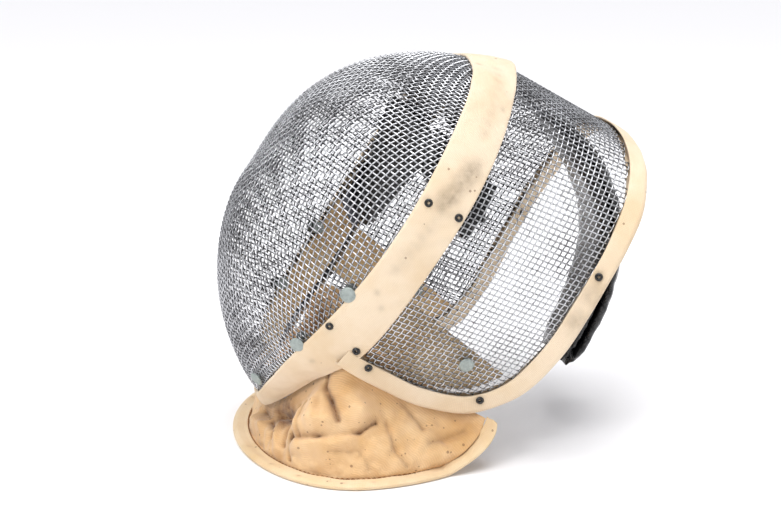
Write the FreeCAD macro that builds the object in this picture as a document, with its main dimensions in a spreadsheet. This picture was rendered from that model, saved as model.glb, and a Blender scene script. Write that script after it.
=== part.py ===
# Fencing mask with a cloth throat bib, lying tilted back on its bib.
#
# Frame: millimetres, +Z up, the mask looks towards -Y, the wearer's left is +X, and the origin is on
# the floor under the middle of the part. The shell is drawn in its own face axes (across, forward, up)
# and then tilted back by face_tilt.
import FreeCAD, Part
import math
import os
import Sketcher

Vector = FreeCAD.Vector
doc = FreeCAD.newDocument("fencing_mask")

# ---------------------------------------------------------------- driving dimensions
sheet = doc.addObject("Spreadsheet::Sheet", "sizes")
SIZES = [
    ("face_tilt", 32.3, "degrees that the face leans back"),
    ("centre_height", 137.0, "height of the face centre above the floor"),
    ("centre_forward", 30.2, "distance of the face centre in front of the origin"),
    ("band_thickness", 2.0, "cream cloth band over the seam"),
    ("strip_thickness", 0.8, "steel strip under the band"),
    ("strip_inset", 4.0, "band width beyond the strip, each side"),
    ("mesh_thickness", 1.9, "woven wire, two wires thick"),
    ("layer_gap", 0.3, "clearance between stacked layers"),
    ("bowl_depth", 88.5, "front bowl beyond its base ring"),
    ("bowl_lift", 6.0, "rise of the bowl's nose along the face"),
    ("binding_width", 12.5, "cloth binding round the rear rim"),
    ("binding_half", 2.9, "half thickness of the folded binding"),
    ("binding_ply", 1.0, "one ply of the binding"),
    ("rim_rod_radius", 1.4, "steel rod inside the binding"),
    ("pad_thickness", 9.0, "forehead and temple padding"),
    ("lining_thickness", 2.4, "cloth lining of the chin"),
    ("bib_half_width", 103.0, "bib outline on the floor, half width"),
    ("bib_front_length", 75.0, "bib outline in front of its widest line"),
    ("bib_rear_length", 110.0, "bib outline's ellipse behind its widest line"),
    ("bib_widest", -48.2, "row Y of the widest line of the bib"),
    ("bib_rear_angle", 27.0, "degrees of the rear ellipse that lie on the floor"),
    ("bib_binding_width", 10.5, "bound edge of the bib"),
    ("bib_binding_height", 4.0, "thickness of the bound edge"),
    ("bib_thickness", 2.6, "folded canvas of the bib"),
    ("bib_bulge", 7.0, "how far the slack bib stands out"),
    ("tongue_width", 60.0, "width of the tongue pad"),
    ("tongue_pad_depth", 7.4, "each half of the tongue pad"),
    ("spring_width", 26.0, "flat tongue spring"),
    ("spring_thickness", 1.4, "flat tongue spring"),
    ("anchor_width", 34.0, "plate that holds the tongue spring"),
    ("anchor_thickness", 2.0, "plate that holds the tongue spring"),
    ("rivet_head_radius", 2.45, "tubular rivet"),
    ("rivet_head_height", 1.1, "tubular rivet"),
    ("rivet_shank_radius", 1.4, "tubular rivet"),
    ("rivet_length", 8.6, "tubular rivet, under its head"),
    ("disc_radius", 4.7, "broad rivet's head"),
    ("disc_height", 1.1, "broad rivet's head"),
    ("disc_length", 9.5, "broad rivet, under its head"),
    ("washer_height", 0.9, "washer behind a broad rivet"),
]
for row, (alias, value, note) in enumerate(SIZES, start=1):
    sheet.set("A%d" % row, note)
    sheet.set("B%d" % row, str(value))
    sheet.setAlias("B%d" % row, alias)
doc.recompute()


def size(alias):
    return float(sheet.get(alias))


TILT = math.radians(size("face_tilt"))
GAP = size("layer_gap")
FORWARD = Vector(0, -math.cos(TILT), math.sin(TILT))
UP = Vector(0, math.sin(TILT), math.cos(TILT))
CENTRE = Vector(0, -size("centre_forward"), size("centre_height"))
JAW = 0.608                      # where the rear rim leaves the band, along the band's rear edge


def face_point(across, forward, up):
    """A point given in the face's own axes."""
    return CENTRE + Vector(across, 0, 0) + FORWARD * forward + UP * up


def half_curve(poles):
    """A clamped cubic spline from crown to chin on the wearer's left, as a function of 0..1."""
    spans = len(poles) - 3
    curve = Part.BSplineCurve()
    knots = [i / spans for i in range(spans + 1)]
    curve.buildFromPolesMultsKnots([Vector(*p) for p in poles], [4] + [1] * (spans - 1) + [4],
                                   knots, False, 3)

    def point(along):
        p = curve.value(min(abs(along), 1.0))
        return Vector(math.copysign(p.x, along) if along else p.x, p.y, p.z)
    return point


# Outlines in the face's axes (across, forward, up): crown first.
band_front_edge = half_curve([(0, 8, 123), (50, 8, 123), (94, 11, 76), (99, 8, -15),
                              (63, 23, -103), (20, 10, -132), (0, 10, -132)])
band_rear_edge = half_curve([(0, -21, 135.5), (25, -21, 135.5), (97, -21, 84), (103, -17, 0),
                             (85, -17, -69), (59, -5, -86), (24, 2, -137), (0, 2, -137)])
rear_rim_edge = half_curve([(0, -95, 137), (37, -95, 137), (85, -105, 113), (95, -105, 42),
                            (83, -113, -31), (70, -84, -68), (82.5, -15, -62)])


def on_curve(curve, along):
    p = curve(along)
    return face_point(p.x, p.y, p.z)


def unit(v):
    return v * (1.0 / v.Length)


def tangent(curve, along, step=0.004):
    """Direction of travel from right to left ear over the crown."""
    low, high = max(along - step, -1.0), min(along + step, 1.0)
    return unit(on_curve(curve, high) - on_curve(curve, low))


# ---------------------------------------------------------------- shells between two skins
def skin(grid):
    surface = Part.BSplineSurface()
    surface.interpolate(grid)
    return surface


def border(surface):
    """The four boundary edges of a surface, in turn."""
    u0, u1, v0, v1 = surface.bounds()
    return [surface.uIso(u0).toShape(), surface.vIso(v1).toShape(),
            surface.uIso(u1).toShape(), surface.vIso(v0).toShape()]


def shell_solid(point, us, vs, near, far):
    """The closed solid between point(u, v, near) and point(u, v, far)."""
    outer = skin([[point(u, v, near) for v in vs] for u in us])
    inner = skin([[point(u, v, far) for v in vs] for u in us])
    faces = [outer.toShape(), inner.toShape()]
    for a, b in zip(border(outer), border(inner)):
        faces.append(Part.makeRuledSurface(a, b))
    shell = Part.Compound(faces)
    shell.sewShape()
    solid = Part.Solid(shell.Shells[0])
    if solid.Volume < 0:
        solid.reverse()
    return solid


def spread(low, high, count):
    return [low + (high - low) * i / (count - 1) for i in range(count)]


made = []


def add_feature(label, shape):
    item = doc.addObject("Part::Feature", label)
    item.Label = label
    item.Shape = shape
    made.append(item)


# ---------------------------------------------------------------- band over the seam
def band_frame(along):
    """Front edge, rear edge and outward normal of the band."""
    front = on_curve(band_front_edge, along)
    rear = on_curve(band_rear_edge, along)
    travel = tangent(band_front_edge, along) + tangent(band_rear_edge, along)
    normal = unit(travel.cross(rear - front))
    if normal.dot((front + rear) * 0.5 - CENTRE) < 0:
        normal = normal * -1.0
    return front, rear, normal


def band_point(across, along, depth):
    """A point at a share of the band's width, a depth under its outside; the band is crowned."""
    front, rear, normal = band_frame(along)
    crown = 1.2 * 4 * across * (1 - across)
    return front + (rear - front) * across + normal * (crown - depth)


END = 0.997                      # the band's ends butt under the chin
AROUND = spread(-END, END, 49)


def make_band():
    add_feature("seam_band", shell_solid(band_point, spread(0, 1, 5), AROUND, 0.0,
                                         size("band_thickness")))
    inset = size("strip_inset") / 27.0
    top = STRIP_DEPTH
    add_feature("seam_strip", shell_solid(band_point, spread(inset, 1 - inset, 4),
                                          spread(-0.985, 0.985, 49), top,
                                          top + size("strip_thickness")))


# ---------------------------------------------------------------- front bowl
FRONT_MESH_DEPTH = size("band_thickness") + 1.1
REAR_MESH_DEPTH = size("band_thickness") + 1.2 + size("mesh_thickness") / 2
STRIP_DEPTH = FRONT_MESH_DEPTH + size("mesh_thickness") + 2 * GAP
BOWL_POWER = (2.39, 0.78)        # flatness of the nose, and steepness at the base ring
BASE_SHARE = 0.20                # the base ring lies this share of the band's width from its front


def bowl_point(angle, radius, depth):
    """The bowl over its base ring: each ring is the base ring shrunk by radius and pushed forward by
    (1 - radius^a)^b of the bowl's depth. The angle is -1..1 from chin over the crown to chin."""
    base = band_point(BASE_SHARE, angle, FRONT_MESH_DEPTH + depth)
    middle = CENTRE + UP * -4.0 + FORWARD * -2.0
    rise = (1 - min(radius, 1.0) ** BOWL_POWER[0]) ** BOWL_POWER[1]
    reach = FORWARD * (size("bowl_depth") - depth) + UP * size("bowl_lift")
    return middle + (base - middle) * radius + reach * rise


def bowl_square(a, b, depth):
    """The bowl over a square -1..1, so that it needs no pole."""
    x = a * math.sqrt(1 - b * b / 2)
    y = b * math.sqrt(1 - a * a / 2)
    radius = math.hypot(x, y)
    angle = math.atan2(x, y) / math.pi
    return bowl_point(max(min(angle, END), -END), radius, depth)


def make_front_mesh():
    side = spread(-1, 1, 23)
    add_feature("front_mesh", shell_solid(bowl_square, side, side, 0.0, size("mesh_thickness")))


# ---------------------------------------------------------------- rear mesh and its rim
def rim_frame(along):
    """A point of the rim's inner edge, the way out of the mask's rear, and the outward normal."""
    edge = on_curve(rear_rim_edge, along)
    travel = tangent(rear_rim_edge, along)
    inside = on_curve(band_rear_edge, 0.5 * JAW * along)
    away = edge - inside
    away = unit(away - travel * away.dot(travel))
    normal = unit(away.cross(travel))
    if normal.dot(edge - CENTRE - FORWARD * -60.0) < 0:
        normal = normal * -1.0
    return edge, away, normal


SIDE_END = 0.955                 # the mesh runs out into the corner where rim and band meet


def rear_mesh_point(across, along, depth):
    """Straight wires from under the band to inside the binding; the panel is the ruled surface."""
    base = band_point(0.84, JAW * along, REAR_MESH_DEPTH)
    edge, away, normal = rim_frame(along)
    tip = edge + away * 1.5 - normal * size("binding_half")
    point = base + (tip - base) * across
    turn = tip - base
    travel = tangent(rear_rim_edge, along) + tangent(band_rear_edge, JAW * along)
    outward = unit(turn.cross(travel))
    if outward.dot(point - CENTRE - FORWARD * -40.0) < 0:
        outward = outward * -1.0
    return point - outward * depth


def make_rear_mesh():
    half = size("mesh_thickness") / 2
    add_feature("rear_mesh", shell_solid(rear_mesh_point, spread(0, 1, 5),
                                         spread(-SIDE_END, SIDE_END, 61), -half, half))


def binding_point(turn, along, depth):
    """A strip folded over the rim: out along the outside, round the fold, back along the inside."""
    edge, away, normal = rim_frame(along)
    half = size("binding_half")
    flat = size("binding_width") - half
    arc = math.pi * half
    run = turn * (2 * flat + arc)
    radius = half - depth
    if run <= flat:
        reach, height = run, radius
    elif run <= flat + arc:
        bend = (run - flat) / half
        reach, height = flat + radius * math.sin(bend), radius * math.cos(bend)
    else:
        reach, height = 2 * flat + arc - run, -radius
    return edge + away * reach + normal * (height - half)


RIM_END = 0.997


def make_rim():
    add_feature("rim_binding", shell_solid(binding_point, spread(0, 1, 25),
                                           spread(-RIM_END, RIM_END, 61), 0.0,
                                           size("binding_ply")))
    route = []
    half = size("binding_half")
    for along in spread(-0.98, 0.98, 41):
        edge, away, normal = rim_frame(along)
        route.append(edge + away * (size("binding_width") - half) - normal * half)
    curve = Part.BSplineCurve()
    curve.interpolate(route)
    path = Part.Wire([curve.toShape()])
    circle = Part.Circle(route[0], curve.tangent(curve.FirstParameter)[0], size("rim_rod_radius"))
    rod = path.makePipeShell([Part.Wire([circle.toShape()])], True, True)
    add_feature("rim_rod", rod)


# ---------------------------------------------------------------- padding and lining
PAD_DEPTH = STRIP_DEPTH + size("strip_thickness") + 2.5
LINING_DEPTH = STRIP_DEPTH + size("strip_thickness") + 0.5
JAW_LINING_DEPTH = 3.6


def pad_edges(along):
    """Shares of the band's width at which the padding starts and stops; below the temple it narrows."""
    turn = abs(along)
    front = -0.35 + 4.6 * max(0.0, turn - 0.30)
    rear = 1.45 - 2.0 * max(0.0, turn - 0.27)
    return front, rear


def pad_point(across, along, depth):
    """Padding behind the band, wider than the band: across is a share of the band's width."""
    front, rear, normal = band_frame(along)
    return front + (rear - front) * across - normal * depth


def temple_point(across, along, depth):
    front, rear = pad_edges(along)
    return pad_point(front + (rear - front) * across, along, depth)


def make_pads():
    far = PAD_DEPTH + size("pad_thickness")
    add_feature("forehead_pad", shell_solid(pad_point, spread(-0.25, 0.55, 4),
                                            spread(-0.205, 0.205, 17), PAD_DEPTH, far))
    add_feature("temple_pad_left", shell_solid(temple_point, spread(0, 1, 5),
                                               spread(0.215, 0.32, 9), PAD_DEPTH, far))
    add_feature("temple_pad_right", shell_solid(temple_point, spread(0, 1, 5),
                                                spread(-0.455, -0.215, 13), PAD_DEPTH, far))


def make_lining():
    thick = size("lining_thickness")
    for side, name in ((1, "left"), (-1, "right")):
        around = sorted([side * 0.49, side * 0.985])
        add_feature("chin_lining_" + name, shell_solid(pad_point, spread(0.03, 0.72, 5),
                                                       spread(around[0], around[1], 25),
                                                       LINING_DEPTH, LINING_DEPTH + thick))
        around = sorted([side * 0.765, side * 0.93])
        add_feature("jaw_lining_" + name, shell_solid(rear_mesh_point, spread(0.09, 0.93, 5),
                                                      spread(around[0], around[1], 13),
                                                      JAW_LINING_DEPTH, JAW_LINING_DEPTH + thick))


# ---------------------------------------------------------------- throat bib
def bib_outline(along, inset):
    """The bib's edge on the floor: half an ellipse in front of the widest line, and the start of a
    longer one behind it. Along is -1..1 from right end over the chin to left end."""
    sweep = 90.0 + size("bib_rear_angle")
    angle = math.radians(abs(along) * sweep - 90.0)
    length = size("bib_front_length") if angle < 0 else size("bib_rear_length")
    x = (size("bib_half_width") - inset) * math.cos(angle)
    y = size("bib_widest") + (length - inset) * math.sin(angle)
    return Vector(math.copysign(x, along) if along else x, y, 0)


# Top of the bib, just below the jaw line: through these points from the chin to its rear end.
bib_top_line = Part.BSplineCurve()
bib_top_line.interpolate([Vector(*p) for p in
                          ((0, -102.7, 17), (31, -94.7, 27), (54, -76.7, 46), (71, -60.7, 59), (73, -44.7, 53),
                           (71, -27.7, 43), (70, -5.7, 32.5), (71, 14.3, 28.5), (74, 28.3, 29))])


def bib_top(along):
    first, last = bib_top_line.FirstParameter, bib_top_line.LastParameter
    p = bib_top_line.value(first + (last - first) * abs(along))
    return Vector(math.copysign(p.x, along) if along else p.x, p.y, p.z)


def bib_point(across, along, depth):
    """Slack canvas from the jaw line (0) out to the bound edge (1)."""
    top = bib_top(along)
    low = bib_outline(along, size("bib_binding_width") + 1.4) + Vector(0, 0, 3.2)
    out = bib_outline(along, 0) - Vector(0, size("bib_widest"), 0)
    out = unit(Vector(out.x, out.y, 0))
    bulge = size("bib_bulge") * 4 * across * (1 - across)
    lean = unit(out + Vector(0, 0, 0.9))
    return top + (low - top) * across + out * bulge - lean * depth


def make_bib():
    add_feature("bib_panel", shell_solid(bib_point, spread(0.03, 0.985, 6),
                                         spread(-0.98, 0.98, 41), 0.0, size("bib_thickness")))


def make_bib_binding():
    body = doc.addObject("PartDesign::Body", "bib_binding")
    body.Label = "bib_binding"
    sketch = body.newObject("Sketcher::SketchObject", "bib_binding_outline")
    plane = [f for f in body.Origin.OriginFeatures if f.Role == "XY_Plane"][0]
    sketch.AttachmentSupport = [(plane, "")]
    sketch.MapMode = "FlatFace"
    width = size("bib_binding_width")
    ends = []
    for inset in (0.0, width):
        points = [bib_outline(a, inset) for a in spread(-1, 1, 33)]
        curve = Part.BSplineCurve()
        curve.interpolate(points)
        sketch.addGeometry(curve, False)
        ends.append((points[0], points[-1]))
    sketch.addGeometry(Part.LineSegment(ends[0][0], ends[1][0]), False)
    sketch.addGeometry(Part.LineSegment(ends[0][1], ends[1][1]), False)
    pad = body.newObject("PartDesign::Pad", "bib_binding_pad")
    pad.Profile = sketch
    pad.setExpression("Length", "sizes.bib_binding_height")
    sketch.Visibility = False
    doc.recompute()
    made.append(body)


def bib_tail_point(across, along, depth):
    """The bound edge where it leaves the floor and climbs to the rim. Along runs 0..1."""
    side = math.copysign(1, along)
    share = abs(along)
    outer = [bib_outline(side, 0), Vector(side * 88, 32, 14), Vector(side * 84, 32, 24)]
    inner = [bib_outline(side, size("bib_binding_width")), Vector(side * 78, 26, 16),
             Vector(side * 75.5, 29, 25)]

    def bend(p):
        a = p[0] + (p[1] - p[0]) * share
        b = p[1] + (p[2] - p[1]) * share
        return a + (b - a) * share
    low = bend(outer)
    high = bend(inner)
    lift = Vector(side * 0.35, -0.35, 1)
    return low + (high - low) * across + unit(lift) * depth


def make_bib_tails():
    for side, name in ((1, "left"), (-1, "right")):
        run = sorted([side * 0.05, side * 1.0])
        add_feature("bib_tail_" + name, shell_solid(bib_tail_point, spread(0, 1, 4),
                                                    spread(run[0], run[1], 9), 0.3,
                                                    0.3 + size("bib_binding_height") - 0.6))


# ---------------------------------------------------------------- tongue
PIVOT = face_point(0, -48, 118)
tongue_line = Part.BSplineCurve()
tongue_line.interpolate([PIVOT + Vector(0, y, z) for y, z in
                         ((0, 0), (20, -17), (38, -42), (48, -70), (49, -96), (42, -124),
                          (31, -148), (18, -170))])


def tongue_frame(along):
    first, last = tongue_line.FirstParameter, tongue_line.LastParameter
    where = first + (last - first) * along
    point = tongue_line.value(where)
    travel = tongue_line.tangent(where)[0]
    back = unit(Vector(1, 0, 0).cross(travel))
    if back.y < 0:
        back = back * -1.0
    return point, back


def pad_fill(along):
    """Share of full width and depth: thin at the root and rounded at the tip."""
    root = min(1.0, 0.62 + 1.6 * along)
    tip = math.sqrt(max(0.0, 1 - max(0.0, (along - 0.90) / 0.115) ** 2))
    return root, tip


def tongue_point(across, along, depth, sign):
    point, back = tongue_frame(along)
    root, tip = pad_fill(along)
    half = size("tongue_width") / 2 * root * (0.45 + 0.55 * tip)
    dome = 1 - 0.55 * abs(across) ** 3
    reach = depth if depth < 1.5 else depth * root * dome * (0.6 + 0.4 * tip)
    return point + Vector(half * across, 0, 0) + back * (sign * reach)


def make_tongue():
    near = size("spring_thickness") / 2 + GAP
    far = near + size("tongue_pad_depth")
    for sign, name in ((1, "back"), (-1, "front")):
        add_feature("tongue_pad_" + name,
                    shell_solid(lambda a, s, d: tongue_point(a, s, d, sign), spread(-1, 1, 9),
                                spread(0.04, 0.995, 17), near, far))

    def leaf(across, along, depth):
        point, back = tongue_frame(along)
        return point + Vector(size("spring_width") / 2 * across, 0, 0) + back * depth
    half = size("spring_thickness") / 2
    add_feature("tongue_spring", shell_solid(leaf, spread(-1, 1, 3), spread(0.01, 0.93, 15),
                                             -half, half))


def make_anchor():
    """A plate bent down from the seam strip to the root of the spring."""
    body = doc.addObject("PartDesign::Body", "tongue_anchor")
    body.Label = "tongue_anchor"
    sketch = body.newObject("Sketcher::SketchObject", "tongue_anchor_side")
    plane = [f for f in body.Origin.OriginFeatures if f.Role == "YZ_Plane"][0]
    sketch.AttachmentSupport = [(plane, "")]
    sketch.MapMode = "FlatFace"
    thick = size("anchor_thickness")
    top = [(-5.0, 121.0), (-18.0, 125.2), (-47.0, 119.0)]
    under = [(forward, up - thick) for forward, up in reversed(top)]
    corners = []
    for forward, up in top + under:
        p = face_point(0, forward, up)
        corners.append(Vector(p.y, p.z, 0))
    for i, corner in enumerate(corners):
        sketch.addGeometry(Part.LineSegment(corner, corners[(i + 1) % len(corners)]), False)
    pad = body.newObject("PartDesign::Pad", "tongue_anchor_pad")
    pad.Profile = sketch
    pad.Midplane = True
    pad.setExpression("Length", "sizes.anchor_width")
    doc.recompute()
    made.append(body)


# ---------------------------------------------------------------- rivets
def turned_body(label, outline, at, axis):
    """A PartDesign body turned about its own Z from (radius, height) corners, set on a surface."""
    body = doc.addObject("PartDesign::Body", label)
    body.Label = label
    sketch = body.newObject("Sketcher::SketchObject", label + "_profile")
    plane = [f for f in body.Origin.OriginFeatures if f.Role == "XZ_Plane"][0]
    sketch.AttachmentSupport = [(plane, "")]
    sketch.MapMode = "FlatFace"
    for i, (radius, height) in enumerate(outline):
        after = outline[(i + 1) % len(outline)]
        sketch.addGeometry(Part.LineSegment(Vector(radius, height, 0),
                                            Vector(after[0], after[1], 0)), False)
    turn = body.newObject("PartDesign::Revolution", label + "_turn")
    turn.Profile = sketch
    turn.ReferenceAxis = (sketch, ["V_Axis"])
    turn.Angle = 360.0
    doc.recompute()
    body.Placement = FreeCAD.Placement(at, FreeCAD.Rotation(Vector(0, 0, 1), axis))
    made.append(body)


def tubular_rivet(label, at, outward, length):
    head, tall = size("rivet_head_radius"), size("rivet_head_height")
    shank = size("rivet_shank_radius")
    bore = shank * 0.6
    outline = [(bore, -1.6), (bore, tall * 0.55), (bore + 0.5, tall), (head * 0.72, tall),
               (head, tall * 0.35), (head, 0.0), (shank, 0.0), (shank, -length),
               (0.0, -length), (0.0, -1.6)]
    turned_body(label, outline, at, outward)


def disc_rivet(label, at, outward, length):
    radius, tall = size("disc_radius"), size("disc_height")
    shank = size("rivet_shank_radius")
    outline = [(0.0, tall), (radius * 0.8, tall * 0.86), (radius, tall * 0.35), (radius, 0.0),
               (shank, 0.0), (shank, -length), (0.0, -length)]
    turned_body(label, outline, at, outward)


def washer(label, at, outward):
    radius, tall = size("disc_radius") * 0.9, size("washer_height")
    hole = size("rivet_shank_radius") + 0.08
    outline = [(hole, 0.0), (radius, 0.0), (radius, tall), (hole, tall)]
    turned_body(label, outline, at, outward)


def bowl_normal(angle, radius):
    step = 0.01
    a = bowl_point(angle + step, radius, 0) - bowl_point(angle - step, radius, 0)
    b = bowl_point(angle, radius + step, 0) - bowl_point(angle, radius - step, 0)
    normal = unit(a.cross(b))
    return normal if normal.dot(FORWARD) > 0 else normal * -1.0


# Rivets of one side. On the band and the rim: share of the width, and place along the half.
BAND_RIVETS = [(0.20, 0.341), (0.87, 0.309), (0.10, 0.611), (0.83, 0.603)]
RIM_RIVETS = [(0.24, 0.990), (0.30, 0.836), (0.38, 0.463)]
# On the bowl: angle, and share of the radius. They grip the front edge of the band.
BOWL_DISCS = [(0.543, 0.983), (0.693, 0.983), (0.872, 0.978)]
BOWL_DISC_LIFT = 1.9
JAW_DISC = (0.68, 0.794)         # share of the way to the rim, and place along the half


def make_fasteners():
    lift = 0.05
    for side, name in ((1, "left"), (-1, "right")):
        for i, (across, along) in enumerate(BAND_RIVETS, start=1):
            normal = band_frame(side * along)[2]
            at = band_point(across, side * along, -lift)
            tubular_rivet("band_rivet_%s_%d" % (name, i), at, normal, size("rivet_length"))
        for i, (share, along) in enumerate(RIM_RIVETS, start=1):
            edge, away, normal = rim_frame(side * along)
            at = edge + away * (size("binding_width") * share) + normal * lift
            tubular_rivet("rim_rivet_%s_%d" % (name, i), at, normal,
                          2 * size("binding_half") + 0.6)
        for i, (angle, radius) in enumerate(BOWL_DISCS, start=1):
            normal = bowl_normal(side * angle, radius)
            at = bowl_point(side * angle, radius, 0) + normal * BOWL_DISC_LIFT
            length = size("disc_length")
            disc_rivet("disc_rivet_%s_%d" % (name, i), at, normal, length)
            washer("disc_washer_%s_%d" % (name, i), at - normal * (length - 0.2), normal)
        across, along = JAW_DISC
        at = rear_mesh_point(across, side * along, -1.8)
        normal = unit(at - rear_mesh_point(across, side * along, 0.0))
        length = size("disc_length")
        disc_rivet("jaw_disc_rivet_" + name, at, normal, length)
        washer("jaw_disc_washer_" + name, at - normal * (length - 0.2), normal)


make_band()
make_front_mesh()
make_rear_mesh()
make_rim()
make_pads()
make_lining()
make_bib()
make_bib_binding()
make_bib_tails()
make_tongue()
make_anchor()
make_fasteners()
doc.recompute()

# ---------------------------------------------------------------- checks and files
for item in doc.Objects:
    if "Invalid" in item.State or "Error" in item.State:
        raise RuntimeError("%s failed: %s" % (item.Label, item.State))
for item in made:
    if item.Shape.isNull() or not item.Shape.isValid() or item.Shape.Volume <= 0:
        raise RuntimeError("%s has no valid solid" % item.Label)
os.makedirs("parts", exist_ok=True)
box = FreeCAD.BoundBox()
for item in made:
    item.Shape.exportStep("parts/%s.step" % item.Label)
    box.add(item.Shape.BoundBox)
print(len(made), "pieces, box", [round(v, 1) for v in
      (box.XMin, box.XMax, box.YMin, box.YMax, box.ZMin, box.ZMax)])
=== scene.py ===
# %% [markdown]
# # A vintage fencing mask, lying tilted back on its bib
# The mask is a bowl of woven steel wire, a second wire panel bent round the back of the head, a cream
# canvas band riveted over their seam, a canvas binding folded round the rear rim, a sprung black
# tongue, black padding and a slack canvas bib. Steel bands, rods and rivets come ready from the frame.
# Everything woven, sewn or padded is made here, from the same few curves that the frame was drawn with.

# %% Load the frame
import math
import bpy
import numpy as np
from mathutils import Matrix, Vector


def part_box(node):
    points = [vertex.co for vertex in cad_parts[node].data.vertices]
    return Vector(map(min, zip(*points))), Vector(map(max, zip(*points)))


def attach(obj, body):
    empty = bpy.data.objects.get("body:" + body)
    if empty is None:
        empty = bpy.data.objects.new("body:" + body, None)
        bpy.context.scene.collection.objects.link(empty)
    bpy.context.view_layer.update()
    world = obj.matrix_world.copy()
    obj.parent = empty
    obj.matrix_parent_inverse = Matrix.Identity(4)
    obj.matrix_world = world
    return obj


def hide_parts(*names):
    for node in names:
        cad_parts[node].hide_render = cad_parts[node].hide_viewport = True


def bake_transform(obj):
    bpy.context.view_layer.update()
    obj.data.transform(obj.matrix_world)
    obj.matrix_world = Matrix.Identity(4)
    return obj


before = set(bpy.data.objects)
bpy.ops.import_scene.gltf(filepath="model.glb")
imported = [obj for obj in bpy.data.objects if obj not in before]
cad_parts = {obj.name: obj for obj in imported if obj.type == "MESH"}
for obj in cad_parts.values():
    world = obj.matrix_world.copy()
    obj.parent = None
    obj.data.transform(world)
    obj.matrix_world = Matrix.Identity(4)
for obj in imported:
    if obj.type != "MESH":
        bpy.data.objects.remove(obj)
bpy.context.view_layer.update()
MM = 0.001

# %% [markdown]
# ## Camera, floor and light
# The camera comes first, because every later choice is judged through it. It stands at the wearer's
# left, a little above the mask. The floor is one large white plane. Broad daylight from above keeps it
# evenly white out to the back, and three soft boxes shape the mask. The white room is bright overhead
# and dim at eye level, so that the round wires keep a dark side.

# %% Camera
CAMERA_AZIMUTH = math.radians(80.06)
CAMERA_ELEVATION = math.radians(15.0)
CAMERA_DISTANCE = 0.9
CAMERA_TARGET = np.array([-15.3, -15.8, 109.1]) * MM


def look_from(azimuth, elevation):
    """The unit vector from the target back to a camera at that azimuth and elevation."""
    level = math.cos(elevation)
    return np.array([math.sin(azimuth) * level, -math.cos(azimuth) * level, math.sin(elevation)])


camera = bpy.data.objects.new("camera", bpy.data.cameras.new("camera"))
camera.data.lens = 62.87
camera.location = CAMERA_TARGET + look_from(CAMERA_AZIMUTH, CAMERA_ELEVATION) * CAMERA_DISTANCE
camera.rotation_euler = (math.pi / 2 - CAMERA_ELEVATION, 0, CAMERA_AZIMUTH)
bpy.context.scene.collection.objects.link(camera)
bpy.context.scene.camera = camera
bpy.context.scene.view_settings.view_transform = "Standard"
print("camera at", [round(float(v), 3) for v in camera.location])


# %% Colours and shader nodes
def srgb(code, alpha=1.0):
    """Linear RGBA of a colour written as an sRGB hex code, by the sRGB curve."""
    parts = [int(code[i:i + 2], 16) / 255 for i in (1, 3, 5)]
    return tuple(v / 12.92 if v <= 0.04045 else ((v + 0.055) / 1.055) ** 2.4 for v in parts) + (alpha,)


def new_material(name, **sockets):
    """A material and its Principled shader, with constants set on the shader's own sockets."""
    material = bpy.data.materials.new(name)
    material.use_nodes = True
    shader = material.node_tree.nodes["Principled BSDF"]
    for key, value in sockets.items():
        shader.inputs[key.replace("_", " ")].default_value = value
    return material, shader


def node(material, kind, inputs=None, **settings):
    """Adds one node. Settings are its own properties; inputs gives sockets a value or a link."""
    tree = material.node_tree
    made = tree.nodes.new(kind)
    for key, value in settings.items():
        setattr(made, key, value)
    for key, value in (inputs or {}).items():
        if isinstance(value, bpy.types.NodeSocket):
            tree.links.new(value, made.inputs[key])
        else:
            made.inputs[key].default_value = value
    return made


def math_node(material, operation, *values, **settings):
    """The result of one Math node on the values."""
    inputs = dict(enumerate(values))
    return node(material, "ShaderNodeMath", inputs, operation=operation, **settings).outputs[0]


def noise(material, vector, grain, **inputs):
    """Noise with features about one grain long, in metres."""
    inputs = {"Vector": vector, "Scale": 1 / grain, **inputs}
    return node(material, "ShaderNodeTexNoise", inputs).outputs["Fac"]


def remap(material, value, low, high, to_low=0.0, to_high=1.0):
    """The value moved from the range low..high to another, and kept inside it."""
    inputs = {"Value": value, "From Min": low, "From Max": high, "To Min": to_low, "To Max": to_high}
    return node(material, "ShaderNodeMapRange", inputs).outputs["Result"]


def mix_colours(material, share, first, second, **settings):
    """The first colour turning to the second as the share goes from 0 to 1."""
    inputs = {"Factor": share, 6: first, 7: second}
    return node(material, "ShaderNodeMix", inputs, data_type="RGBA", **settings).outputs[2]


def bump(material, height, strength, distance):
    """A normal that follows the height."""
    inputs = {"Height": height, "Strength": strength, "Distance": distance}
    return node(material, "ShaderNodeBump", inputs).outputs["Normal"]


def wire_up(material, shader, **sockets):
    """Links each output to the shader's socket of that name."""
    for key, output in sockets.items():
        material.node_tree.links.new(output, shader.inputs[key.replace("_", " ")])


# %% Floor, lights and world
def plain_floor(half=12.0):
    """A flat white square on which the mask lies."""
    mesh = bpy.data.meshes.new("studio_floor")
    corners = [(-half, -half, 0), (half, -half, 0), (half, half, 0), (-half, half, 0)]
    mesh.from_pydata(corners, [], [(0, 1, 2, 3)])
    floor = bpy.data.objects.new("studio_floor", mesh)
    paper, _ = new_material("white_paper", Base_Color=srgb("#F7F6F7"), Roughness=0.9)
    mesh.materials.append(paper)
    bpy.context.scene.collection.objects.link(floor)


def soft_box(name, place, aim, watts, side):
    """A square area light at place, facing aim."""
    light = bpy.data.lights.new(name, "AREA")
    light.energy, light.size, light.shape = watts, side, "SQUARE"
    lamp = bpy.data.objects.new(name, light)
    lamp.location = place
    back = np.array(place, float) - np.array(aim, float)
    flat = math.hypot(back[0], back[1])
    lamp.rotation_euler = (math.atan2(flat, back[2]), 0, math.atan2(back[0], -back[1]))
    bpy.context.scene.collection.objects.link(lamp)


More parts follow.
